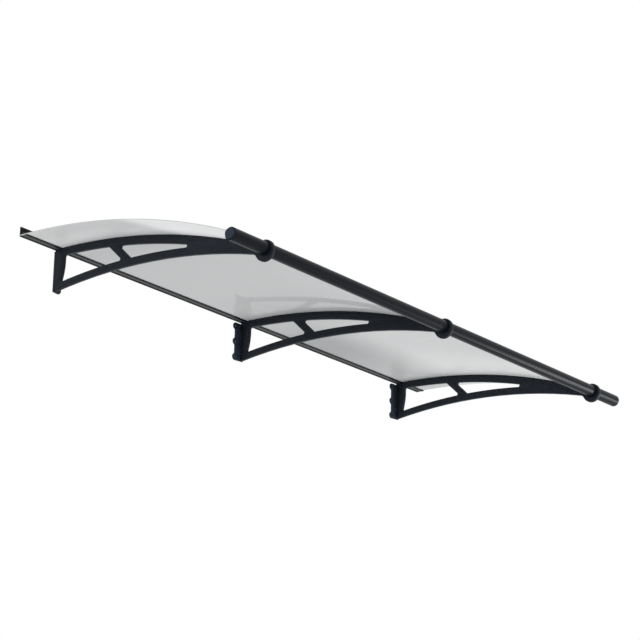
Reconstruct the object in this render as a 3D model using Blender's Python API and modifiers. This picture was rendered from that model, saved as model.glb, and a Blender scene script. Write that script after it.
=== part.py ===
"""Arched door canopy for a wall: one glossy sheet on three moulded brackets, a slotted
round bar along its front edge and an aluminium rail along the wall.

Metres, +Z up. The wall is the plane Y = 0 and the canopy reaches out towards -Y. The
origin is on the wall, halfway along the sheet, on the flat back of the middle bracket's
flange and level with its middle screw lobe.
Sections are drawn in a plane (out, up), where out is the distance from the wall.
"""

from math import asin, atan2, ceil, cos, hypot, pi, radians, sin, sqrt, tan

import bmesh
import bpy
from mathutils import Matrix, Vector

# Lengths along the wall
SHEET_LENGTH = 2.195
BAR_OVERRUN = 0.0150
BRACKET_INSET = 0.1525
BRACKET_SHIFT = 0.0140

# Clearance between pieces that touch
GAP = 0.0003

# Sheet: an arc in side view, highest close to the wall
SHEET_THICKNESS = 0.003
SHEET_RADIUS = 2.167
SHEET_APEX_OUT = 0.0545
SHEET_APEX_UP = 0.077
SHEET_GRIP = 0.0170

# Front bar: a round tube with a channel for the sheet and a rubber strip
BAR_OUT = 0.8625
BAR_BELOW_SHEET = 0.0053
BAR_RADIUS = 0.0208
BAR_WALL = 0.0020
BAR_STRIP_THICKNESS = 0.0016
BAR_STRIP_WIDTH = 0.0100

# End plugs of the front bar
PLUG_BOSS_RADIUS = 0.0160
PLUG_BOSS_LENGTH = 0.0080
PLUG_ROUNDING = 0.0015
PLUG_SPIGOT_LENGTH = 0.0140
PLUG_SHOULDER = 0.0020

# Wall rail: upright leg, shelf under the sheet and lip above it
RAIL_LEG_HEIGHT = 0.0331
RAIL_LEG_THICKNESS = 0.0024
RAIL_SHELF_DEPTH = 0.0320
RAIL_SHELF_THICKNESS = 0.0022
RAIL_GROOVE_DEPTH = 0.0007
RAIL_GROOVE_MARGIN = 0.0080
RAIL_LIP_DEPTH = 0.0140
RAIL_LIP_THICKNESS = 0.0020
RAIL_STRIP_THICKNESS = 0.0026
RAIL_STRIP_WIDTH = 0.0070
RAIL_HOLE_RADIUS = 0.0026
RAIL_HOLE_INSET = 0.120
RAIL_HOLE_COUNT = 4

# Bracket plate: wall column, arched arm, lower strut, slanted web and ring
PLATE_THICKNESS = 0.0130
PLATE_ROUNDING = 0.0020
COLUMN_HEAD_DEPTH = 0.0415
COLUMN_FOOT_DEPTH = 0.0295
COLUMN_BULGE = 0.0045
ARM_ROOT_DEPTH = 0.0250
ARM_TIP_DEPTH = 0.0295
STRUT_RADIUS = 2.030
STRUT_APEX_OUT = 0.342
STRUT_APEX_UP = -0.0371
STRUT_ROOT_DEPTH = 0.0235
STRUT_TIP_DEPTH = 0.0265
WEB_HEAD_OUT = 0.2325
WEB_ANGLE = radians(43.4)
WEB_WIDTH = 0.0247
SLIT_END_OUT = 0.557
SLIT_END_RADIUS = 0.0050
CORNER_RADIUS = 0.0070
SMALL_CORNER_RADIUS = 0.0050
RING_RADIUS = 0.0340
RING_SHIFT_BACK = 0.0025
RING_SHIFT_DOWN = 0.0054
RING_FILLET = 0.0220

# Wall flange of a bracket: three rounded lobes, each with a screw hole
FLANGE_THICKNESS = 0.0055
FLANGE_ROUNDING = 0.0010
FLANGE_MARGIN = 0.0010
LOBE_PITCH = 0.0560
LOBE_RADIUS = 0.0125
LOBE_FILLET = 0.0050
LOBE_REACHES = {"left": 0.0155, "middle": 0.0340, "right": 0.0340}
VALLEY_STEP = 0.0025
WALL_HOLE_RADIUS = 0.0032

# Countersunk screws that hold the rail on the brackets
RAIL_SCREW_OUT = 0.0180
RAIL_SCREW_RADIUS = 0.0020
RAIL_SCREW_HEAD_RADIUS = 0.0038
RAIL_SCREW_LENGTH = 0.0180

# Cap screws that hold the bar in the rings, from below
BAR_SCREW_RADIUS = 0.0020
BAR_SCREW_HEAD_RADIUS = 0.0034
BAR_SCREW_HEAD_HEIGHT = 0.0030
BAR_SCREW_RECESS = 0.0060
BAR_SCREW_BITE = 0.0060
SOCKET_RADIUS = 0.0017
SOCKET_DEPTH = 0.0016

# Fineness of the curves
ARC_STEP = radians(15)
LONG_STEPS = 14
TURN_STEPS = 16

NAMES = ("left", "middle", "right")
FLANGE_SIDES = {"left": 1, "middle": -1, "right": -1}
BRACKET_SPACING = SHEET_LENGTH / 2 - BRACKET_INSET
PLACES = {name: (index - 1) * BRACKET_SPACING for index, name in enumerate(NAMES)}


# Curves of the side view, each giving a height for a distance from the wall


def arc_height(out, radius, apex_out, apex_up):
    """Height of a circle that is highest at (apex_out, apex_up)."""
    return apex_up - radius + sqrt(radius**2 - (out - apex_out) ** 2)


def sheet_under(out):
    return arc_height(out, SHEET_RADIUS, SHEET_APEX_OUT, SHEET_APEX_UP)


def sheet_over(out):
    return arc_height(
        out,
        SHEET_RADIUS + SHEET_THICKNESS,
        SHEET_APEX_OUT,
        SHEET_APEX_UP + SHEET_THICKNESS,
    )


def arm_top(out):
    return sheet_under(out) - GAP


def tapered(out, root_depth, tip_depth):
    share = (out - COLUMN_HEAD_DEPTH) / (SLIT_END_OUT - COLUMN_HEAD_DEPTH)
    return root_depth + (tip_depth - root_depth) * share


def arm_under(out):
    return arm_top(out) - tapered(out, ARM_ROOT_DEPTH, ARM_TIP_DEPTH)


def strut_under(out):
    return arc_height(out, STRUT_RADIUS, STRUT_APEX_OUT, STRUT_APEX_UP)


def strut_top(out):
    return strut_under(out) + tapered(out, STRUT_ROOT_DEPTH, STRUT_TIP_DEPTH)


# Places worked out from the sizes

BAR_LENGTH = SHEET_LENGTH + BAR_OVERRUN
BAR_SHIFT = BAR_OVERRUN / 2
SHEET_SLOPE = asin((BAR_OUT - SHEET_APEX_OUT) / SHEET_RADIUS)
BAR_CENTRE = Vector((BAR_OUT, sheet_under(BAR_OUT) - BAR_BELOW_SHEET))
RING_CENTRE = BAR_CENTRE - Vector((RING_SHIFT_BACK, RING_SHIFT_DOWN))
SHEET_BACK = RAIL_LEG_THICKNESS + GAP
SHELF_TOP = sheet_under(SHEET_BACK) - GAP
SHELF_UNDER = SHELF_TOP - RAIL_SHELF_THICKNESS
BRACKET_HEAD = SHELF_UNDER - GAP
LIP_UNDER = sheet_over(SHEET_BACK + RAIL_LIP_DEPTH) + RAIL_STRIP_THICKNESS + 2 * GAP
STRUT_CENTRE = Vector((STRUT_APEX_OUT, STRUT_APEX_UP - STRUT_RADIUS))
SHOULDER_OUT = RAIL_SHELF_DEPTH + GAP

# Directions of the sheet where it enters the bar, in the plane (out, up)
ALONG_SHEET = Vector((cos(SHEET_SLOPE), -sin(SHEET_SLOPE)))
OFF_SHEET = Vector((sin(SHEET_SLOPE), cos(SHEET_SLOPE)))
SHEET_ABOVE_AXIS = BAR_BELOW_SHEET * cos(SHEET_SLOPE)
SLOT_LOW = SHEET_ABOVE_AXIS - GAP
SLOT_HIGH = SHEET_ABOVE_AXIS + SHEET_THICKNESS + BAR_STRIP_THICKNESS + 2 * GAP
SLOT_MOUTH = -sqrt(BAR_RADIUS**2 - SHEET_ABOVE_AXIS**2)
SLOT_END = SLOT_MOUTH + SHEET_GRIP + GAP


# Helpers for outlines: lists of points in a plane


def spread(start, end, count):
    return [start + (end - start) * index / count for index in range(count + 1)]


def along(curve, start, end, steps):
    """Points of a height curve from one distance to another."""
    return [Vector((out, curve(out))) for out in spread(start, end, steps)]


def circle_arc(centre, radius, start, end):
    """Points of a circle from one angle to another, in steps of about ARC_STEP."""
    steps = max(2, ceil(abs(end - start) / ARC_STEP))
    return [
        centre + radius * Vector((cos(angle), sin(angle)))
        for angle in spread(start, end, steps)
    ]


def bisect(error, low, high):
    """The value between low and high where error changes sign."""
    sign = error(low) > 0
    for _ in range(60):
        middle = (low + high) / 2
        if (error(middle) > 0) == sign:
            low = middle
        else:
            high = middle
    return (low + high) / 2


def angle_about(centre, point):
    return atan2(point.y - centre.y, point.x - centre.x)


def on_circle(curve, centre, radius, low, high):
    """The point where a height curve crosses a circle."""
    out = bisect(lambda o: hypot(o - centre.x, curve(o) - centre.y) - radius, low, high)
    return Vector((out, curve(out)))


def trimmed(points, length):
    """A run of points without its first stretch of the given length."""
    run = list(points)
    while len(run) > 2 and (run[1] - run[0]).length <= length:
        length -= (run[1] - run[0]).length
        run.pop(0)
    run[0] = run[0] + (run[1] - run[0]).normalized() * length
    return run


def rounded_loop(edges, radii):
    """A closed outline from edges that meet at corners, corner i where edge i starts."""
    runs = [list(edge) for edge in edges]
    arcs = []
    for index, radius in enumerate(radii):
        before = runs[index - 1]
        after = runs[index]
        corner = after[0]
        back = (before[-2] - corner).normalized()
        ahead = (after[1] - corner).normalized()
        half = back.angle(ahead) / 2
        cut = radius / tan(half)
        centre = corner + (back + ahead).normalized() * radius / sin(half)
        runs[index - 1] = trimmed(before[::-1], cut)[::-1]
        runs[index] = trimmed(after, cut)
        start = angle_about(centre, corner + back * cut)
        turn = (angle_about(centre, corner + ahead * cut) - start + pi) % (2 * pi) - pi
        arcs.append(circle_arc(centre, radius, start, start + turn)[1:-1])
    loop = []
    for arc, run in zip(arcs, runs):
        loop += arc + run
    return loop


# Helpers for objects

SIDE_VIEW = Matrix(((0, 0, -1, 0), (-1, 0, 0, 0), (0, 1, 0, 0), (0, 0, 0, 1)))
WALL_VIEW = Matrix(((1, 0, 0, 0), (0, 0, -1, 0), (0, 1, 0, 0), (0, 0, 0, 1)))


def at(x=0.0, out=0.0, up=0.0, view=Matrix()):
    """A place given along the canopy, out from the wall and up."""
    return Matrix.Translation((x, -out, up)) @ view


def clear_scene():
    for obj in list(bpy.data.objects):
        bpy.data.objects.remove(obj, do_unlink=True)


def new_collection(name):
    collection = bpy.data.collections.new(name)
    bpy.context.scene.collection.children.link(collection)
    return collection


def new_material(name, colour, roughness, metallic=0.0):
    material = bpy.data.materials.new(name)
    material.use_nodes = True
    shader = material.node_tree.nodes["Principled BSDF"]
    shader.inputs["Base Color"].default_value = (*colour, 1.0)
    shader.inputs["Roughness"].default_value = roughness
    shader.inputs["Metallic"].default_value = metallic
    return material


def place_mesh(name, mesh, collection, matrix):
    obj = bpy.data.objects.new(name, mesh)
    obj.matrix_world = matrix
    collection.objects.link(obj)
    return obj


def finish(obj, material, angle=radians(35)):
    """Give a finished piece its material and smooth shading on its round parts."""
    obj.data.materials.append(material)
    obj.data.shade_smooth()
    obj.data.set_sharp_from_angle(angle=angle)
    return obj


def signed_area(loop):
    following = loop[1:] + loop[:1]
    return sum(a.x * b.y - b.x * a.y for a, b in zip(loop, following)) / 2


def extruded(name, loops, thickness, matrix, collection, rounding=0.0):
    """A flat outline with its holes, given a thickness and rounded edges, as a mesh."""
    curve = bpy.data.curves.new(name, "CURVE")
    curve.dimensions = "2D"
    curve.fill_mode = "BOTH"
    curve.extrude = thickness / 2 - rounding
    curve.bevel_depth = rounding
    curve.bevel_resolution = 1
    curve.offset = -rounding
    for index, loop in enumerate(loops):
        if (signed_area(loop) > 0) == (index > 0):
            loop = loop[::-1]
        spline = curve.splines.new("POLY")
        spline.points.add(len(loop) - 1)
        for point, place in zip(spline.points, loop):
            point.co = (place.x, place.y, 0.0, 1.0)
        spline.use_cyclic_u = True
    drawn = bpy.data.objects.new(name, curve)
    drawn.matrix_world = matrix
    collection.objects.link(drawn)
    bpy.context.view_layer.update()
    graph = bpy.context.evaluated_depsgraph_get()
    mesh = bpy.data.meshes.new_from_object(drawn.evaluated_get(graph))
    bpy.data.objects.remove(drawn, do_unlink=True)
    bpy.data.curves.remove(curve)
    work = bmesh.new()
    work.from_mesh(mesh)
    bmesh.ops.remove_doubles(work, verts=work.verts, dist=1e-6)
    bmesh.ops.recalc_face_normals(work, faces=work.faces)
    work.to_mesh(mesh)
    work.free()
    mesh.materials.clear()
    return place_mesh(name, mesh, collection, matrix)


def turned(name, profile, matrix, collection, steps=TURN_STEPS):
    """A body turned about its own Z from (radius, height) points, top to bottom."""
    mesh = bpy.data.meshes.new(name)
    points = [(radius, 0.0, height) for radius, height in profile]
    mesh.from_pydata(points, [(i, i + 1) for i in range(len(points) - 1)], [])
    obj = place_mesh(name, mesh, collection, matrix)
    screw = obj.modifiers.new("Turn", "SCREW")
    screw.steps = steps
    screw.render_steps = steps
    screw.use_merge_vertices = True
    screw.merge_threshold = 0.00001
    return obj


def combine(obj, other, operation="DIFFERENCE"):
    """Cut or join with another mesh object, which becomes a hidden guide."""
    modifier = obj.modifiers.new(other.name, "BOOLEAN")
    modifier.operation = operation
    modifier.object = other
    modifier.solver = "EXACT"
    other.hide_render = True
    other.display_type = "WIRE"


# Bracket


def column_edge():
    """The column's inner edge, from the strut up to the arm, bulging a little."""
    foot = Vector((COLUMN_FOOT_DEPTH, strut_top(COLUMN_FOOT_DEPTH)))
    head = Vector((COLUMN_HEAD_DEPTH, arm_under(COLUMN_HEAD_DEPTH)))
    bulge = Vector((COLUMN_BULGE, 0.0))
    return [
        foot.lerp(head, share) + bulge * 4 * share * (1 - share)
        for share in spread(0.0, 1.0, LONG_STEPS // 2)
    ]


def web_edge(shift):
    """Ends of one edge of the slanted web, on the arm and on the strut."""
    slope = tan(WEB_ANGLE)
    start = Vector((WEB_HEAD_OUT + shift, arm_under(WEB_HEAD_OUT)))

    def line(out):
        return start.y - (out - start.x) * slope

    head_out = bisect(
        lambda out: line(out) - arm_under(out), start.x - WEB_WIDTH, start.x + WEB_WIDTH
    )
    foot_out = bisect(lambda out: line(out) - strut_top(out), head_out, SLIT_END_OUT)
    head = Vector((head_out, arm_under(head_out)))
    return head, Vector((foot_out, strut_top(foot_out)))


def first_opening():
    """The opening between the column and the web."""
    head, foot = web_edge(0.0)
    edges = (
        along(strut_top, foot.x, COLUMN_FOOT_DEPTH, LONG_STEPS // 2),
        column_edge(),
        along(arm_under, COLUMN_HEAD_DEPTH, head.x, LONG_STEPS // 2),
        [head, foot],
    )
    radii = (SMALL_CORNER_RADIUS, CORNER_RADIUS, CORNER_RADIUS, CORNER_RADIUS)
    return rounded_loop(edges, radii)


def second_opening():
    """The long slit between the arm and the strut, closing towards the ring."""
    head, foot = web_edge(WEB_WIDTH / sin(WEB_ANGLE))
    high = Vector((SLIT_END_OUT, arm_under(SLIT_END_OUT)))
    low = Vector((SLIT_END_OUT, strut_top(SLIT_END_OUT)))
    end_radius = min(SLIT_END_RADIUS, 0.45 * (high.y - low.y))
    edges = (
        along(arm_under, head.x, SLIT_END_OUT, LONG_STEPS // 2),
        [high, low],
        along(strut_top, SLIT_END_OUT, foot.x, LONG_STEPS // 2),
        [foot, head],
    )
    return rounded_loop(edges, (SMALL_CORNER_RADIUS, end_radius, end_radius, SMALL_CORNER_RADIUS))


def ring_fillet_centre():
    """Centre of the fillet between the strut's underside and the ring."""
    from_strut = STRUT_RADIUS - RING_FILLET
    from_ring = RING_RADIUS + RING_FILLET
    span = RING_CENTRE - STRUT_CENTRE
    reach = (from_strut**2 - from_ring**2 + span.length**2) / (2 * span.length)
    side = sqrt(from_strut**2 - reach**2)
    ahead = span.normalized()
    return STRUT_CENTRE + ahead * reach + Vector((-ahead.y, ahead.x)) * side


def plate_outline():
    """The plate's outer edge, with the hook that runs round the bar."""
    hole_radius = BAR_RADIUS + GAP
    far = BAR_OUT - RING_RADIUS - RING_SHIFT_BACK

    def hook_under(out):
        return sheet_over(out) + GAP

    seat = on_circle(arm_top, BAR_CENTRE, hole_radius, BAR_OUT, far)
    lip = on_circle(hook_under, BAR_CENTRE, hole_radius, BAR_OUT, far)
    tip = on_circle(hook_under, RING_CENTRE, RING_RADIUS, RING_CENTRE.x, 2 * far - BAR_OUT)
    hook_start = angle_about(BAR_CENTRE, seat)
    hook_end = angle_about(BAR_CENTRE, lip) + 2 * pi
    fillet = ring_fillet_centre()
    strut_end = STRUT_CENTRE + (fillet - STRUT_CENTRE).normalized() * STRUT_RADIUS
    ring_start = angle_about(RING_CENTRE, tip)
    ring_end = angle_about(RING_CENTRE, fillet)
    bend_start = angle_about(fillet, RING_CENTRE)
    bend_end = angle_about(fillet, strut_end)
    back = FLANGE_THICKNESS / 2
    head = [Vector((back, BRACKET_HEAD)), Vector((SHOULDER_OUT, BRACKET_HEAD))]
    return (
        head
        + along(arm_top, SHOULDER_OUT, seat.x, LONG_STEPS)
        + circle_arc(BAR_CENTRE, hole_radius, hook_start, hook_end)[1:]
        + circle_arc(RING_CENTRE, RING_RADIUS, ring_start, ring_end)
        + circle_arc(fillet, RING_FILLET, bend_start, bend_end)[1:]
        + along(strut_under, strut_end.x, back, LONG_STEPS)[1:]
    )


def flange_outline(reach):
    """The wall flange's edge: plain at the plate, with three lobes at the given reach."""
    step = VALLEY_STEP + LOBE_FILLET
    rise = sqrt((LOBE_RADIUS + LOBE_FILLET) ** 2 - step**2)
    tilt = atan2(rise, step)
    end = LOBE_PITCH + LOBE_RADIUS
    plain = -PLATE_THICKNESS / 2 - FLANGE_MARGIN
    edge = [Vector((plain, strut_under(0.0)))]
    for row in (-1, 0, 1):
        lobe = Vector((reach, row * LOBE_PITCH))
        start = -pi / 2 if row == -1 else -tilt
        stop = pi / 2 if row == 1 else tilt
        if row > -1:
            fillet = lobe + Vector((step, -rise))
            edge += circle_arc(fillet, LOBE_FILLET, pi, pi - tilt)[:-1]
        edge += circle_arc(lobe, LOBE_RADIUS, start, stop)
        if row < 1:
            fillet = lobe + Vector((step, rise))
            edge += circle_arc(fillet, LOBE_FILLET, pi + tilt, pi)[1:]
    edge.append(Vector((plain, end)))
    return edge


def rail_screw_profile(clearance=0.0):
    """A countersunk screw about Z with its head level with the shelf's top at 0."""
    radius = RAIL_SCREW_RADIUS + clearance
    head = RAIL_SCREW_HEAD_RADIUS + clearance
    return (
        (0.0, clearance),
        (head + clearance, clearance),
        (radius, radius - head),
        (radius, radius - RAIL_SCREW_LENGTH - clearance),
        (radius / 2, -RAIL_SCREW_LENGTH - clearance),
        (0.0, -RAIL_SCREW_LENGTH - clearance),
    )


def bar_screw_seat():
    """Height of the seat for the screw's head, under the bar's centre."""
    return RING_CENTRE.y - RING_RADIUS + BAR_SCREW_RECESS


def bar_screw_profile(clearance=0.0, head_below=0.0):
    """A cap screw about Z with the seat of its head at 0 and its tip above."""
    radius = BAR_SCREW_RADIUS + clearance
    head = BAR_SCREW_HEAD_RADIUS + clearance
    bar_bottom = BAR_CENTRE.y - BAR_RADIUS
    tip = bar_bottom + BAR_SCREW_BITE - bar_screw_seat() + clearance
    return (
        (0.0, tip),
        (radius / 2, tip),
        (radius, tip - radius / 2),
        (radius, clearance),
        (head, clearance),
        (head, -BAR_SCREW_HEAD_HEIGHT - head_below),
        (0.0, -BAR_SCREW_HEAD_HEIGHT - head_below),
    )


def add_flange(name, x, cutters):
    """The wall flange with its three screw holes, as a mesh to join to the plate."""
    reach = LOBE_REACHES[name]
    loops = [flange_outline(reach)]
    for row in (-1, 0, 1):
        centre = Vector((reach, row * LOBE_PITCH))
        loops.append(circle_arc(centre, WALL_HOLE_RADIUS, 0.0, 2 * pi)[:-1])
    side = FLANGE_SIDES[name]
    loops = [[Vector((side * point.x, point.y)) for point in loop] for loop in loops]
    place = at(x, FLANGE_THICKNESS / 2, view=WALL_VIEW)
    return extruded("flange_" + name, loops, FLANGE_THICKNESS, place, cutters, FLANGE_ROUNDING)


def add_bracket(name, parts, cutters, material):
    x = PLACES[name] + BRACKET_SHIFT
    loops = (plate_outline(), first_opening(), second_opening())
    bracket = extruded(
        "bracket_" + name, loops, PLATE_THICKNESS, at(x, view=SIDE_VIEW), parts, PLATE_ROUNDING
    )
    place = at(x, RAIL_SCREW_OUT, SHELF_TOP)
    combine(bracket, turned("rail_thread_" + name, rail_screw_profile(GAP), place, cutters))
    place = at(x, BAR_CENTRE.x, bar_screw_seat())
    profile = bar_screw_profile(GAP, BAR_SCREW_RECESS)
    combine(bracket, turned("bar_thread_" + name, profile, place, cutters))
    combine(bracket, add_flange(name, x, cutters), "UNION")
    finish(bracket, material)


# Sheet, rail and bar


def sheet_outline():
    front = BAR_CENTRE + ALONG_SHEET * (SLOT_END - GAP) + OFF_SHEET * SHEET_ABOVE_AXIS
    under = along(sheet_under, SHEET_BACK, front.x, LONG_STEPS)
    over = along(sheet_over, SHEET_BACK, front.x + OFF_SHEET.x * SHEET_THICKNESS, LONG_STEPS)
    return under + over[::-1]


def rail_outline():
    """Section of the wall rail, from the foot of its leg round to its top."""
    groove = SHELF_UNDER + RAIL_GROOVE_DEPTH
    lip_top = LIP_UNDER + RAIL_LIP_THICKNESS
    lip_out = SHEET_BACK + RAIL_LIP_DEPTH
    top = SHELF_UNDER + RAIL_LEG_HEIGHT
    points = (
        (0.0, SHELF_UNDER),
        (RAIL_GROOVE_MARGIN, SHELF_UNDER),
        (RAIL_GROOVE_MARGIN, groove),
        (RAIL_SHELF_DEPTH - RAIL_GROOVE_MARGIN, groove),
        (RAIL_SHELF_DEPTH - RAIL_GROOVE_MARGIN, SHELF_UNDER),
        (RAIL_SHELF_DEPTH, SHELF_UNDER),
        (RAIL_SHELF_DEPTH, SHELF_TOP),
        (RAIL_LEG_THICKNESS, SHELF_TOP),
        (RAIL_LEG_THICKNESS, LIP_UNDER),
        (lip_out, LIP_UNDER),
        (lip_out, lip_top),
        (RAIL_LEG_THICKNESS, lip_top),
        (RAIL_LEG_THICKNESS, top),
        (0.0, top),
    )
    return [Vector(point) for point in points]


def add_rail(parts, cutters, material):
    rail = extruded("wall_rail", (rail_outline(),), SHEET_LENGTH, at(view=SIDE_VIEW), parts)
    leg_middle = (LIP_UNDER + RAIL_LIP_THICKNESS + SHELF_UNDER + RAIL_LEG_HEIGHT) / 2
    inset = SHEET_LENGTH / 2 - RAIL_HOLE_INSET
    profile = (
        (0.0, RAIL_LEG_THICKNESS + 0.001),
        (RAIL_HOLE_RADIUS, RAIL_LEG_THICKNESS + 0.001),
        (RAIL_HOLE_RADIUS, -0.001),
        (0.0, -0.001),
    )
    for index, x in enumerate(spread(-inset, inset, RAIL_HOLE_COUNT - 1)):
        place = at(x, 0.0, leg_middle, WALL_VIEW)
        combine(rail, turned(f"rail_hole_{index + 1}", profile, place, cutters))
    for name in NAMES:
        place = at(PLACES[name] + BRACKET_SHIFT, RAIL_SCREW_OUT, SHELF_TOP)
        combine(rail, turned("rail_sink_" + name, rail_screw_profile(GAP), place, cutters))
    finish(rail, material)


def in_bar(along_sheet, off_sheet):
    """A point given along and off the sheet's direction from the bar's centre."""
    return BAR_CENTRE + ALONG_SHEET * along_sheet + OFF_SHEET * off_sheet


def channelled_circle(radius, grow):
    """A circle round the bar's centre with the sheet's channel taken out of it."""
    low = SLOT_LOW - grow
    high = SLOT_HIGH + grow
    end = SLOT_END + grow
    start = pi - asin(high / radius)
    stop = -pi - asin(low / radius)
    steps = ceil((start - stop) / ARC_STEP)
    loop = [
        in_bar(radius * cos(angle), radius * sin(angle)) for angle in spread(start, stop, steps)
    ]
    return loop + [in_bar(end, low), in_bar(end, high)]


def add_bar(parts, cutters, material):
    loops = (channelled_circle(BAR_RADIUS, 0.0), channelled_circle(BAR_RADIUS - BAR_WALL, BAR_WALL))
    bar = extruded("front_bar", loops, BAR_LENGTH, at(BAR_SHIFT, view=SIDE_VIEW), parts)
    for name in NAMES:
        place = at(PLACES[name] + BRACKET_SHIFT, BAR_CENTRE.x, bar_screw_seat())
        profile = bar_screw_profile(GAP)
        combine(bar, turned("bar_hole_" + name, profile, place, cutters))
    finish(bar, material)


def add_plug(name, side, parts, cutters, material):
    """An end plug: a round boss with a spigot that fills the bar's hollow."""
    inner = BAR_WALL + GAP
    inside = PLUG_SPIGOT_LENGTH
    outside = GAP + PLUG_SHOULDER
    face = BAR_SHIFT + side * BAR_LENGTH / 2
    spigot = extruded(
        "bar_plug_" + name,
        (channelled_circle(BAR_RADIUS - inner, inner),),
        inside + outside,
        at(face + side * (outside - inside) / 2, view=SIDE_VIEW),
        parts,
    )
    top = GAP + PLUG_BOSS_LENGTH
    profile = (
        (0.0, top),
        (PLUG_BOSS_RADIUS - PLUG_ROUNDING, top),
        (PLUG_BOSS_RADIUS, top - PLUG_ROUNDING),
        (PLUG_BOSS_RADIUS, GAP),
        (0.0, GAP),
    )
    turn = Matrix.Rotation(side * pi / 2, 4, "Y")
    place = at(face, BAR_CENTRE.x, BAR_CENTRE.y, turn)
    boss = turned("boss_" + name, profile, place, cutters, 2 * TURN_STEPS)
    combine(spigot, boss, "UNION")
    finish(spigot, material)


def add_strips(parts, material):
    """The rubber strips that hold the sheet down in the bar and in the rail."""
    low = SHEET_ABOVE_AXIS + SHEET_THICKNESS + GAP
    high = low + BAR_STRIP_THICKNESS
    mouth = SLOT_MOUTH + 2 * BAR_WALL
    corners = ((mouth, low), (mouth + BAR_STRIP_WIDTH, low))
    corners += ((mouth + BAR_STRIP_WIDTH, high), (mouth, high))
    loop = [in_bar(*corner) for corner in corners]
    strip = extruded("bar_strip", (loop,), SHEET_LENGTH, at(view=SIDE_VIEW), parts)
    finish(strip, material)
    start = SHEET_BACK + (RAIL_LIP_DEPTH - RAIL_STRIP_WIDTH) / 2
    top = LIP_UNDER - GAP
    corners = ((start, top), (start, top - RAIL_STRIP_THICKNESS))
    corners += ((start + RAIL_STRIP_WIDTH, corners[1][1]), (start + RAIL_STRIP_WIDTH, top))
    loop = [Vector(corner) for corner in corners]
    strip = extruded("rail_strip", (loop,), SHEET_LENGTH, at(view=SIDE_VIEW), parts)
    finish(strip, material)


def add_screws(name, parts, cutters, material):
    x = PLACES[name] + BRACKET_SHIFT
    place = at(x, RAIL_SCREW_OUT, SHELF_TOP)
    finish(turned("rail_screw_" + name, rail_screw_profile(), place, parts), material)
    place = at(x, BAR_CENTRE.x, bar_screw_seat())
    screw = turned("bar_screw_" + name, bar_screw_profile(), place, parts)
    bottom = -BAR_SCREW_HEAD_HEIGHT
    socket = (
        (0.0, bottom + SOCKET_DEPTH),
        (SOCKET_RADIUS, bottom + SOCKET_DEPTH),
        (SOCKET_RADIUS, bottom - 0.001),
        (0.0, bottom - 0.001),
    )
    combine(screw, turned("socket_" + name, socket, place, cutters, 6))
    finish(screw, material)


def main():
    clear_scene()
    parts = new_collection("door_canopy")
    cutters = new_collection("guides")
    clear = new_material("sheet_grey", (0.58, 0.59, 0.60), 0.15)
    plastic = new_material("bracket_plastic", (0.014, 0.017, 0.023), 0.42)
    paint = new_material("painted_aluminium", (0.016, 0.020, 0.026), 0.30, 0.3)
    rubber = new_material("strip_rubber", (0.012, 0.012, 0.013), 0.70)
    steel = new_material("screw_steel", (0.55, 0.55, 0.56), 0.30, 1.0)
    sheet = extruded("canopy_sheet", (sheet_outline(),), SHEET_LENGTH, at(view=SIDE_VIEW), parts)
    finish(sheet, clear)
    add_rail(parts, cutters, paint)
    add_bar(parts, cutters, paint)
    add_plug("left", -1, parts, cutters, plastic)
    add_plug("right", 1, parts, cutters, plastic)
    add_strips(parts, rubber)
    for name in NAMES:
        add_bracket(name, parts, cutters, plastic)
        add_screws(name, parts, cutters, steel)


main()
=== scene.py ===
# %% [markdown]
# # A door canopy, dressed for its picture
#
# The canopy is an arched sheet that lies on three moulded brackets. A round bar holds
# its front edge and a rail holds its back edge against the wall. The frame comes from
# the model's own solids, so this lesson only adds finer surfaces, finishes and light.

import bmesh
import bpy
import numpy as np
from mathutils import Matrix, Vector


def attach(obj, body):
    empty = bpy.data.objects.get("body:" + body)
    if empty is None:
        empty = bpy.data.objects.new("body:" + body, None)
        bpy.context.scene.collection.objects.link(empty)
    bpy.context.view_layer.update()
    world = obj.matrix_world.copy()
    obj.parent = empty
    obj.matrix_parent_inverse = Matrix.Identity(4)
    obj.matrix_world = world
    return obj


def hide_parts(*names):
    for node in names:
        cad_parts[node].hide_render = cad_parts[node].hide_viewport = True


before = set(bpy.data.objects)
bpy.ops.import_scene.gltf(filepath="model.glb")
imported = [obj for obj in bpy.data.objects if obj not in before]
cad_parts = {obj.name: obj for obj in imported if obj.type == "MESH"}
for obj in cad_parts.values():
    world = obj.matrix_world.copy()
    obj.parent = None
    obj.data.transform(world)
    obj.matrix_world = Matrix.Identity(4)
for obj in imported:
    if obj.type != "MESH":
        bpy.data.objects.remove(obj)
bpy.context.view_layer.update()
print("nodes:", sorted(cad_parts))

# %% [markdown]
# ## Sizes
#
# Everything is drawn in a side view whose two directions are "out" from the wall and
# "up". The wall is the plane y = 0 and the canopy reaches out towards -y, so a point
# (out, up) at the place x becomes (x, -out, up).
#
# The sizes could be measured on the meshes, but those are coarse. Writing the real sizes
# once more, in metres, keeps the finer surfaces exact.

# %% Sizes in metres, as in the solids
GAP = 0.0003
SHEET_LENGTH, BAR_LENGTH = 2.195, 2.210
BAR_SHIFT = (BAR_LENGTH - SHEET_LENGTH) / 2
SHEET_THICKNESS, SHEET_RADIUS = 0.003, 2.167
APEX = np.array([0.0545, 0.077])
BAR_OUT, BAR_BELOW_SHEET = 0.8625, 0.0053
BAR_RADIUS, BAR_WALL = 0.0208, 0.0020
BAR_STRIP = 0.0016
RAIL_LEG, SHEET_GRIP = 0.0024, 0.0170
BRACKET_SPACING, BRACKET_SHIFT = 0.945, 0.014
print("sheet:", SHEET_LENGTH, "m long, bar:", BAR_LENGTH, "m, shifted", round(BAR_SHIFT, 4))

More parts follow.
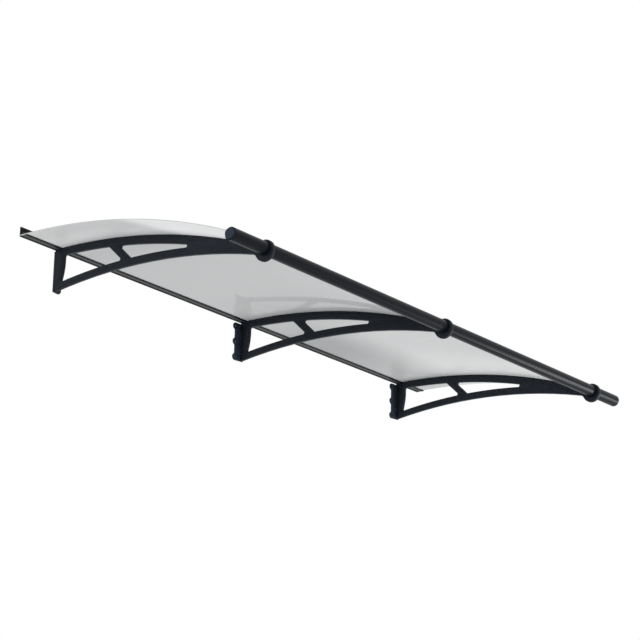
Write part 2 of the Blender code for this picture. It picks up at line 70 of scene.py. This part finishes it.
# %% [markdown]
# The sheet is sprung into an arch, and in the side view it is a part of a circle. The
# bar's centre lies a little under the sheet, near the arc's front end. Both could be
# placed by hand, but a formula keeps sheet, bar and channel in line with each other.

# %% The sheet's arc and the bar's centre


def arc_height(out, radius, apex_out, apex_up):
    """Height of a circle's top side: up = apex_up - r + sqrt(r^2 - (out - apex_out)^2)."""
    return apex_up - radius + np.sqrt(radius**2 - (out - apex_out) ** 2)


def sheet_under(out):
    """The sheet's underside."""
    return arc_height(out, SHEET_RADIUS, *APEX)


def sheet_over(out):
    """The sheet's top side, on the same centre with the thickness added."""
    top = APEX + (0.0, SHEET_THICKNESS)
    return arc_height(out, SHEET_RADIUS + SHEET_THICKNESS, *top)


slope = np.arcsin((BAR_OUT - APEX[0]) / SHEET_RADIUS)
bar_centre = np.array([BAR_OUT, sheet_under(BAR_OUT) - BAR_BELOW_SHEET])
along_sheet = np.array([np.cos(slope), -np.sin(slope)])
off_sheet = np.array([np.sin(slope), np.cos(slope)])
print("bar centre:", bar_centre.round(4), "sheet slope there:", np.degrees(slope).round(1))

# %% [markdown]
# ## Long pieces
#
# A sheet or a tube is one section carried along the wall. A bevelled curve or a Solidify
# modifier could make it too. Here each section is a wall between two runs of points, and
# its surface is a grid: one parameter runs along the run, the other goes round the four
# corners of the wall. Then the script says where every point lies, and that decides how
# smooth a gloss looks.

# %% A mesh from arrays


def mesh_piece(name, points, faces, sharp=30.0):
    """A mesh object at the origin from arrays of points and faces, smooth on its curves."""
    mesh = bpy.data.meshes.new(name)
    mesh.from_pydata(points.tolist(), [], faces)
    mesh.update()
    work = bmesh.new()
    work.from_mesh(mesh)
    bmesh.ops.recalc_face_normals(work, faces=work.faces)
    work.to_mesh(mesh)
    work.free()
    mesh.shade_smooth()
    mesh.set_sharp_from_angle(angle=np.radians(sharp))
    piece = bpy.data.objects.new(name, mesh)
    bpy.context.scene.collection.objects.link(piece)
    return piece


# %% A wall between two runs, carried along x


def carried_wall(name, inner, outer, start, end, closed):
    """The solid between two runs of (out, up) points, from x = start to x = end.

    Grid point (i, j) lies on run point i, at corner j of (inner, start), (inner, end),
    (outer, end), (outer, start). A closed run joins its last point to its first.
    """
    runs = np.stack([inner, inner, outer, outer], axis=1)
    count, corner = len(inner), np.arange(4)
    places = np.broadcast_to(np.array([start, end, end, start]), (count, 4))
    points = np.stack([places, -runs[..., 0], runs[..., 1]], axis=-1).reshape(-1, 3)
    steps = np.arange(count if closed else count - 1)
    here = steps[:, None] * 4 + corner
    ahead = ((steps + 1) % count)[:, None] * 4 + corner
    quads = np.stack([here, np.roll(here, -1, 1), np.roll(ahead, -1, 1), ahead], axis=-1)
    faces = quads.reshape(-1, 4).tolist()
    if not closed:
        faces += [corner.tolist(), (4 * (count - 1) + corner).tolist()]
    return mesh_piece(name, points, faces)


# %% [markdown]
# ## Shader arithmetic
#
# A finish is a graph of nodes, and it could be drawn by hand in the shader editor. In a
# script, wrapping a socket in a small class lets sums be written as sums: each operator
# adds the Math node that does it, and the graph stays readable.

# %% Sockets that add and multiply


class Wire:
    """An output socket that can be used in sums with numbers and other wires."""

    def __init__(self, finish, socket):
        self.finish, self.socket = finish, socket

    def sum(self, operation, first, second):
        return self.finish.node("Math", {"operation": operation}, {0: first, 1: second})

    def __add__(self, other):
        return self.sum("ADD", self, other)

    def __sub__(self, other):
        return self.sum("SUBTRACT", self, other)

    def __mul__(self, other):
        return self.sum("MULTIPLY", self, other)

    def __rsub__(self, other):
        return self.sum("SUBTRACT", other, self)

    def size(self):
        """The value without its sign."""
        return self.sum("ABSOLUTE", self, 0.0)

    def root(self):
        """The square root."""
        return self.sum("SQRT", self, 0.0)

    __radd__ = __add__
    __rmul__ = __mul__


# %% Materials built node by node


class Finish:
    """A material whose nodes are added one call at a time."""

    def __init__(self, name):
        self.material = bpy.data.materials.new(name)
        self.material.use_nodes = True
        self.tree = self.material.node_tree
        self.shader = self.tree.nodes["Principled BSDF"]

    def node(self, kind, settings=None, inputs=None, output=0):
        """Add a node, set its settings, then its sockets, and hand back one output."""
        made = self.tree.nodes.new("ShaderNode" + kind)
        for key, value in (settings or {}).items():
            setattr(made, key, value)
        self.fill(made, inputs or {})
        return Wire(self, made.outputs[output])

    def fill(self, made, inputs):
        """Give sockets their values: a wire is linked, a colour gets its alpha."""
        for key, value in inputs.items():
            if isinstance(value, Wire):
                self.tree.links.new(value.socket, made.inputs[key])
            elif isinstance(value, tuple) and made.inputs[key].type == "RGBA":
                made.inputs[key].default_value = (*value, 1.0)
            else:
                made.inputs[key].default_value = value

    def place(self, stretch=(1.0, 1.0, 1.0)):
        """Object coordinates, stretched per axis."""
        spot = self.node("TexCoord", output=3)
        return self.node("Mapping", {}, {"Vector": spot, "Scale": stretch})

    def axis(self, number):
        """One of the three Object coordinates, in metres."""
        return self.node("SeparateXYZ", {}, {"Vector": self.place()}, output=number)

    def ramp(self, value, start, end):
        """A smooth step from 0 at the start to 1 at the end."""
        limits = {"Value": value, "From Min": start, "From Max": end}
        return self.node("MapRange", {"interpolation_type": "SMOOTHSTEP"}, limits)

    def noise(self, size, detail=2.0, stretch=(1.0, 1.0, 1.0)):
        """Noise with features of about the given size in metres, from 0 to 1."""
        inputs = {"Vector": self.place(stretch), "Scale": 1.0 / size, "Detail": detail}
        return self.node("TexNoise", {}, inputs)

    def blend(self, share, dark, light):
        """A colour between two colours."""
        return self.node("Mix", {"data_type": "RGBA"}, {0: share, 6: dark, 7: light}, output=2)

    def bump(self, height, depth):
        """A normal that leans as if the surface rose by height times depth, in metres."""
        return self.node("Bump", {}, {"Height": height, "Distance": depth, "Strength": 1.0})

    def dress(self, *nodes):
        """Give this finish to pieces or to nodes of the frame."""
        for item in nodes:
            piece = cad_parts[item] if isinstance(item, str) else item
            piece.data.materials.clear()
            piece.data.materials.append(self.material)


# %% [markdown]
# ## Finish of the sheet
#
# The sheet is a glossy grey plastic: a smooth pale body with a clear, mirror-like skin.
# Rolled sheet is never quite flat, so a wide and shallow swell moves its reflections. In
# the photograph only the middle bracket has a clear mirror image, so the skin gets
# hazier away from it. A picture of a real sheet could give such marks, but noise and
# smooth steps need no file and stay sharp from every distance.

# %% Marks in the sheet's skin
IMAGE_PLACE = -0.16
sheet_finish = Finish("glossy grey sheet")
cloud = sheet_finish.noise(0.35, 2.0, (0.5, 1.0, 1.0))
smear = sheet_finish.noise(0.03, 3.0, (0.15, 1.0, 1.0))
swell = sheet_finish.noise(0.30, 1.0, (0.4, 1.0, 1.0))
x, y, z = (sheet_finish.axis(number) for number in range(3))
hazy = sheet_finish.ramp((x - IMAGE_PLACE).size(), start=0.22, end=0.62)
print("mirror image clearest at x =", IMAGE_PLACE)

# %% [markdown]
# Underside, top and end faces of the sheet look different, and the painted light and shade
# below belong to the underside alone. The faces could get materials of their own. One material
# that knows its distance from the arc's centre has no seams, and the sheet stays one piece.

# %% Which face of the sheet is which
along_out = y + APEX[0]
above_centre = z - (APEX[1] - SHEET_RADIUS)
from_centre = (along_out * along_out + above_centre * above_centre).root()
under_side = sheet_finish.ramp(from_centre, SHEET_RADIUS + 0.0020, SHEET_RADIUS + 0.0010)
half_length = SHEET_LENGTH / 2
end_face = sheet_finish.ramp(x.size(), half_length - 0.0008, half_length - 0.0002)
print("end faces at x =", -half_length, "and", half_length)

# %% [markdown]
# The underside carries painted light and shade in its base colour. The near end is painted
# lighter, and more so past a slanting line, where a painted glow stands in for daylight
# soaking through. The sheet is painted darker by the wall right of the middle bracket, as
# painted shade, and lighter again at the right end. Such painted light and shade could be
# painted on by hand. Ramps along the axes are smooth and can be moved by a number.

# %% Painted light and shade on the underside
SLANT = 0.8
NEAR_LIFT, BRACKET_LIFT, FRONT_LIFT = 0.15, 0.32, 0.28
RIGHT_FRONT_LIFT, RIGHT_END_LIFT, RIGHT_SHADE = 0.53, 0.40, 0.41
near_end = sheet_finish.ramp(x, start=-0.82, end=-0.93)
by_bracket = sheet_finish.ramp(x, start=-1.07, end=-0.95)
near_front = near_end * sheet_finish.ramp(y + x * SLANT, start=-1.24, end=-1.37)
right_part = sheet_finish.ramp(x, start=0.05, end=0.35)
right_front = right_part * sheet_finish.ramp(y, start=-0.10, end=-0.36)
right_end = sheet_finish.ramp(x, start=0.45, end=1.05)
# painted light: the near end, the part by the bracket and the near front are lifted
near_painted_light = near_end * (NEAR_LIFT + by_bracket * BRACKET_LIFT) + near_front * FRONT_LIFT
painted_light = near_painted_light + right_front * RIGHT_FRONT_LIFT + right_end * RIGHT_END_LIFT
# painted light and shade of the underside: the lifts, less the painted shade right of the
# middle bracket
painted_light_and_shade = under_side * (painted_light - right_part * RIGHT_SHADE)
# painted glow: emission that stands in for daylight soaking through the near end's front
painted_glow = under_side * near_front * (0.55 + by_bracket * 0.45)
print("nodes in the sheet's graph so far:", len(sheet_finish.tree.nodes))

# %% [markdown]
# The mirror image in the photograph is shorter than this arch gives. A height that grows
# steadily outwards leans the shading by about seven degrees, which shortens the image
# while the sheet itself keeps its shape. It could be modelled as a flatter sheet, but
# then the outline would no longer match. Near the wall the lean is eased.

# %% Sheet finish
OUTWARD_LEAN, SIDEWAYS_LEAN = 0.118, 0.055
EASED_WITHIN, EASING = 0.30, 0.03
by_wall = y + EASED_WITHIN + (y + EASED_WITHIN).size()
slant = y * OUTWARD_LEAN + x * SIDEWAYS_LEAN - by_wall * by_wall * EASING
lean = under_side * slant
# the base colour's share adds the painted light and shade of the underside to the body
pale = 0.42 + painted_light_and_shade + end_face * 0.45 + cloud * 0.07
sheet_finish.fill(
    sheet_finish.shader,
    {
        "Base Color": sheet_finish.blend(pale, (0.420, 0.425, 0.425), (0.96, 0.965, 0.96)),
        "Roughness": 0.02 + smear * 0.03 + hazy * 0.28,
        "IOR": 1.24,
        # painted glow in the emission, not a lamp
        "Emission Color": sheet_finish.blend(painted_glow, (0.0, 0.0, 0.0), (0.20, 0.20, 0.20)),
        "Emission Strength": 1.0,
        "Normal": sheet_finish.bump(swell * 0.0003 + lean, 1.0),
    },
)
print("outward lean:", np.degrees(np.arctan(OUTWARD_LEAN)).round(1), "degrees")

# %% [markdown]
# ## Finishes of the other pieces
#
# The brackets are moulded in dark plastic. The mould's fine spark-eroded grain makes
# the skin satin, and wide patches of slightly different gloss come from the flow.
#
# The wall flanges are painted a little paler: painted light that lifts the shade they lie
# in beside the bracket's column. They could be pieces with a finish of their own, but
# each is moulded in one with its bracket, so a mask finds them: it repeats with the
# bracket spacing and starts where a point lies outside the bracket's own thickness.

# %% Bracket finish
PLATE_HALF, MASK_HALF = 0.0070, 0.0004
plastic_finish = Finish("moulded dark plastic")
grain = plastic_finish.noise(0.0009, 2.0)
flow = plastic_finish.noise(0.09, 2.0)
skin = plastic_finish.blend(flow, (0.0130, 0.0166, 0.0236), (0.0148, 0.0188, 0.0262))
spread = {
    0: plastic_finish.axis(0) - BRACKET_SHIFT,
    1: -BRACKET_SPACING / 2,
    2: BRACKET_SPACING / 2,
}
off_plate = plastic_finish.node("Math", {"operation": "WRAP"}, spread).size()
# mask of the flanges' painted light
flange_painted_light = plastic_finish.ramp(off_plate, PLATE_HALF - MASK_HALF, PLATE_HALF + MASK_HALF)
plastic_finish.fill(
    plastic_finish.shader,
    {
        # the flanges get a paler colour as painted light
        "Base Color": plastic_finish.blend(flange_painted_light, skin, (0.030, 0.040, 0.057)),
        "Roughness": 0.36 + flow * 0.06 + grain * 0.06,
        "Specular IOR Level": 0.12,
        "Normal": plastic_finish.bump(grain, 0.000006),
    },
)
print("flange mask starts", PLATE_HALF, "m off a bracket's middle plane")

# %% [markdown]
# The bar and the rail are extruded aluminium under a dark powder coat. The coat flows
# out to a fine orange-peel skin, and the die leaves faint lines along the length. The
# lines could be grooves in the mesh, but they are finer than any sensible grid, so they
# are noise that is stretched along the bar.

# %% Bar finish
ALONG = (0.004, 1.0, 1.0)
coat_finish = Finish("dark powder coat")
peel = coat_finish.noise(0.0018, 1.0)
lines = coat_finish.noise(0.0012, 1.0, ALONG)
tone = coat_finish.noise(0.12, 2.0, (0.4, 1.0, 1.0))
coat = coat_finish.blend(tone, (0.0048, 0.0068, 0.0102), (0.0070, 0.0090, 0.0128))
coat_finish.fill(
    coat_finish.shader,
    {
        "Base Color": coat,
        "Roughness": 0.28 + peel * 0.02 + lines * 0.03,
        "Specular IOR Level": 0.09,
        "Normal": coat_finish.bump(peel + lines * 0.4, 0.000002),
    },
)
print("lines are stretched", round(1 / ALONG[0]), "times along the bar")

# %% [markdown]
# The rail has the same coat, duller because little light reaches its underside. There a
# light line shows, as if a shallow groove caught the sky. A groove could be cut into the
# mesh. At this size a paler band painted into the colour, placed by its distance from the
# wall, is a painted highlight that shows it just as well and leaves the solid as it is.

# %% Rail finish
BAND_OUT = 0.0170
rail_finish = Finish("rail powder coat")
rail_lines = rail_finish.noise(0.0012, 1.0, ALONG)
off_band = (rail_finish.axis(1) + BAND_OUT).size()
# painted highlight: a paler band where a groove would catch the sky
painted_highlight_band = rail_finish.ramp(off_band, start=0.0075, end=0.0045)
rail_coat = rail_finish.blend(painted_highlight_band, (0.0065, 0.0075, 0.0090), (0.090, 0.094, 0.098))
rail_finish.fill(
    rail_finish.shader,
    {
        "Base Color": rail_coat,
        "Roughness": 0.38 + rail_lines * 0.08,
        "Specular IOR Level": 0.06,
        "Normal": rail_finish.bump(rail_lines, 0.00001),
    },
)
print("paler band:", BAND_OUT, "m out from the wall")

# %% [markdown]
# Inside the bar and the rail, strips of black rubber press on the sheet: dull, with a
# chalky bloom. The screws are plain steel with fine marks of the lathe on them. Plain
# colours could do, since little of them shows, but a view from close below meets the
# screw heads.

# %% Rubber and steel finishes
rubber_finish = Finish("black strip rubber")
chalk = rubber_finish.noise(0.004, 3.0)
rubber_finish.fill(
    rubber_finish.shader,
    {
        "Base Color": rubber_finish.blend(chalk, (0.010, 0.010, 0.011), (0.020, 0.020, 0.021)),
        "Roughness": 0.62 + chalk * 0.15,
        "Normal": rubber_finish.bump(chalk, 0.00005),
    },
)
steel_finish = Finish("plain screw steel")
turning = steel_finish.noise(0.0006, 2.0, (1.0, 1.0, 6.0))
steel_finish.fill(
    steel_finish.shader,
    {
        "Base Color": steel_finish.blend(turning, (0.46, 0.46, 0.47), (0.62, 0.62, 0.63)),
        "Metallic": 1.0,
        "Roughness": 0.24 + turning * 0.14,
        "Normal": steel_finish.bump(turning, 0.00002),
    },
)
print("finishes:", [m.name for m in bpy.data.materials if m.users])

# %% [markdown]
# ## The sheet
#
# In the solids the sheet is a coarse arc. Seen in its own gloss it needs a fine one, so
# its section is drawn again on the same two circles with many more points. A
# subdivision modifier could smooth the coarse arc, but it would also round the edges.

# %% Fine sheet
ARC_POINTS = 181
slot_mouth = -np.sqrt(BAR_RADIUS**2 - (BAR_BELOW_SHEET * np.cos(slope)) ** 2)
front = bar_centre + along_sheet * (slot_mouth + SHEET_GRIP)
front = front + off_sheet * BAR_BELOW_SHEET * np.cos(slope)
back_out = RAIL_LEG + GAP
over_front = front[0] + off_sheet[0] * SHEET_THICKNESS
under_outs = np.linspace(back_out, front[0], ARC_POINTS)
over_outs = np.linspace(back_out, over_front, ARC_POINTS)
under = np.stack([under_outs, sheet_under(under_outs)], axis=1)
over = np.stack([over_outs, sheet_over(over_outs)], axis=1)
sheet = carried_wall("arched_sheet", under, over, -half_length, half_length, closed=False)
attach(sheet, "root")
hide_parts("canopy_sheet")
sheet_finish.dress(sheet)
print("sheet faces:", len(sheet.data.polygons))

# %% [markdown]
# ## The front bar
#
# The bar is a round tube with a channel for the sheet's edge. Its section is a circle
# that leaves out a notch: the circle is followed from one lip of the channel the long
# way round to the other, then the path goes in along the channel and back. A boolean
# cut could make the channel, but it leaves long thin triangles that spoil the gloss.

# %% Section of the bar
RING_POINTS, SIDE_POINTS = 145, 4


def channelled_circle(radius, grow):
    """A circle with a channel taken out, whose sides lie `grow` outside the sheet's slot.

    The circle's angles run from pi - arcsin(high / r) down to -pi - arcsin(low / r).
    Both sides of the channel then run straight to its end, in equal steps.
    """
    level = BAR_BELOW_SHEET * np.cos(slope)
    low = level - GAP - grow
    high = level + SHEET_THICKNESS + BAR_STRIP + 2 * GAP + grow
    end = slot_mouth + SHEET_GRIP + GAP + grow
    first, last = np.pi - np.arcsin(high / radius), -np.pi - np.arcsin(low / radius)
    angles = np.linspace(first, last, RING_POINTS)
    ring = radius * np.stack([np.cos(angles), np.sin(angles)], axis=1)
    inwards = np.linspace(1 / SIDE_POINTS, 1, SIDE_POINTS)[:, None] * [1, 0]
    outwards = np.linspace(0, 1 - 1 / SIDE_POINTS, SIDE_POINTS)[:, None] * [1, 0]
    low_side = ring[-1:] + (end - ring[-1, 0]) * inwards
    high_side = np.array([[end, high]]) + (ring[0, 0] - end) * outwards
    section = np.concatenate([ring, low_side, high_side])
    return bar_centre + section[:, :1] * along_sheet + section[:, 1:] * off_sheet


print("points in a section:", len(channelled_circle(BAR_RADIUS, 0.0)))

# %% Fine bar
bar = carried_wall(
    "slotted_bar",
    channelled_circle(BAR_RADIUS - BAR_WALL, BAR_WALL),
    channelled_circle(BAR_RADIUS, 0.0),
    BAR_SHIFT - BAR_LENGTH / 2,
    BAR_SHIFT + BAR_LENGTH / 2,
    closed=True,
)
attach(bar, "root")
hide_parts("front_bar")
coat_finish.dress(bar)
print("bar faces:", len(bar.data.polygons))

# %% [markdown]
# ## Moulded and turned pieces
#
# The solids come in as loose triangles, so light breaks on every edge of a curve. A copy
# whose corners are merged can share its normals across the small steps of a curve, and
# keeps a crisp line only where two faces really meet at an angle. The pieces could be
# modelled again with more points, but their curves are already the real ones.

# %% Merged copies with smooth curves
SAME_POINT = 0.00001


def smooth_copy(node, name, finish, sharp=32.0):
    """A copy of a node with merged corners, smooth wherever faces meet below an angle."""
    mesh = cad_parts[node].data.copy()
    work = bmesh.new()
    work.from_mesh(mesh)
    bmesh.ops.remove_doubles(work, verts=work.verts, dist=SAME_POINT)
    work.to_mesh(mesh)
    work.free()
    mesh.name = name
    for layer in [entry.name for entry in mesh.attributes if entry.name == "custom_normal"]:
        mesh.attributes.remove(mesh.attributes[layer])
    mesh.shade_smooth()
    mesh.set_sharp_from_angle(angle=np.radians(sharp))
    piece = bpy.data.objects.new(name, mesh)
    bpy.context.scene.collection.objects.link(piece)
    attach(piece, "root")
    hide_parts(node)
    finish.dress(piece)
    return piece


for side in ("left", "middle", "right"):
    moulding = smooth_copy("bracket_" + side, side + "_moulding", plastic_finish)
    smooth_copy("rail_screw_" + side, side + "_rail_screw", steel_finish)
    smooth_copy("bar_screw_" + side, side + "_bar_screw", steel_finish)
for side in ("left", "right"):
    smooth_copy("bar_plug_" + side, side + "_end_plug", plastic_finish)
print("faces of a bracket:", len(moulding.data.polygons))

# %% [markdown]
# The rail and the rubber strips are straight, and their long faces are flat. They could
# be copied too, but these faces need no smoothing, so the solids' own meshes are shown.

# %% Finishes of the straight pieces
rail_finish.dress("wall_rail")
rubber_finish.dress("bar_strip", "rail_strip")
print("faces of the rail:", len(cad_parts["wall_rail"].data.polygons))

# %% [markdown]
# ## Stage and light
#
# The photograph shows the canopy from below, on white. The floor could be left out of
# such a picture, but it throws soft light up at the underside, as pavement does at a
# door. It lies a door's height below and is one plain square.

# %% Floor
FLOOR, FLOOR_REACH = -2.42, 30
square = [(-1, -1), (1, -1), (1, 1), (-1, 1)]
corners = [(FLOOR_REACH * east, FLOOR_REACH * north, FLOOR) for east, north in square]
floor_mesh = bpy.data.meshes.new("pale_floor")
floor_mesh.from_pydata(corners, [], [(0, 1, 2, 3)])
floor = bpy.data.objects.new("pale_floor", floor_mesh)
bpy.context.scene.collection.objects.link(floor)
floor_finish = Finish("pale floor")
speck = floor_finish.noise(0.4, 3.0)
floor_finish.fill(
    floor_finish.shader,
    {
        "Base Color": floor_finish.blend(speck, (0.84, 0.84, 0.84), (0.88, 0.88, 0.88)),
        "Roughness": 0.9,
    },
)
floor_finish.dress(floor)
print("floor at", FLOOR, "m")

# %% [markdown]
# The sky is white to the camera, like the photograph's background, and a soft grey
# studio to the surfaces. A Light Path node tells the two apart. Lamps alone could light
# the canopy, but a glossy sheet mirrors what is around it, and an even sky leaves no
# spots on it.

# %% Sky
world = bpy.data.worlds.new("studio")
world.use_nodes = True
bpy.context.scene.world = world
tree = world.node_tree
seen = tree.nodes["Background"]
seen.inputs["Color"].default_value = (1.0, 1.0, 1.0, 1.0)
lit = tree.nodes.new("ShaderNodeBackground")
lit.inputs["Color"].default_value = (0.98, 0.99, 1.0, 1.0)
lit.inputs["Strength"].default_value = 0.88
path = tree.nodes.new("ShaderNodeLightPath")
choice = tree.nodes.new("ShaderNodeMixShader")
tree.links.new(path.outputs["Is Camera Ray"], choice.inputs[0])
tree.links.new(lit.outputs[0], choice.inputs[1])
tree.links.new(seen.outputs[0], choice.inputs[2])
tree.links.new(choice.outputs[0], tree.nodes["World Output"].inputs["Surface"])
print("sky nodes:", [node.name for node in tree.nodes])

# %% [markdown]
# A narrow panel beyond the right end gives the bar and the sheet their brighter end, and
# a wide one above lifts the top side. Spot lamps could do it too, but a panel's soft
# edge looks like a studio's softbox in the gloss.

# %% Panels


def panel(name, centre, aim, size, watts):
    """A rectangular area light at a place, facing a point."""
    light = bpy.data.lights.new(name, "AREA")
    light.shape = "RECTANGLE"
    light.size, light.size_y = size
    light.energy = watts
    lamp = bpy.data.objects.new(name, light)
    lamp.visible_camera = False
    facing = (Vector(aim) - Vector(centre)).to_track_quat("-Z", "Y")
    lamp.matrix_world = Matrix.Translation(centre) @ facing.to_matrix().to_4x4()
    bpy.context.scene.collection.objects.link(lamp)


panel("low_panel", (1.85, -1.45, -0.62), (0.9, -0.86, -0.12), size=(0.24, 0.95), watts=10)
panel("top_panel", (0.0, -3.5, 4.5), (0.0, -0.5, 0.0), size=(10.0, 7.0), watts=40)

# %% [markdown]
# The photograph was taken from low on the left with a long lens. Its place and its
# directions were worked out from the three equal brackets and the straight bar. A camera
# could be aimed by eye with a Track To constraint, but only the worked-out one lays the
# picture over the photograph.

# %% Camera of the photograph
CAMERA_PLACE = Vector((-5.9561, -4.9092, -2.2984))
FOCAL_PIXELS, PICTURE_PIXELS, SENSOR = 2298.0, 640.0, 36.0
right = Vector((0.60223, -0.79808, 0.01942))
upward = Vector((-0.24727, -0.16335, 0.95508))
ahead = Vector((0.75906, 0.57998, 0.29571))
lens = bpy.data.cameras.new("photo_camera")
lens.sensor_width = SENSOR
lens.lens = SENSOR * FOCAL_PIXELS / PICTURE_PIXELS
lens.clip_end = 100.0
camera = bpy.data.objects.new("photo_camera", lens)
turn = Matrix((right, upward, -ahead)).transposed().to_4x4()
camera.matrix_world = Matrix.Translation(CAMERA_PLACE) @ turn
bpy.context.scene.collection.objects.link(camera)
bpy.context.scene.camera = camera
bpy.context.scene.view_settings.view_transform = "Standard"
print("lens:", round(lens.lens, 1), "mm at", [round(c, 2) for c in CAMERA_PLACE])
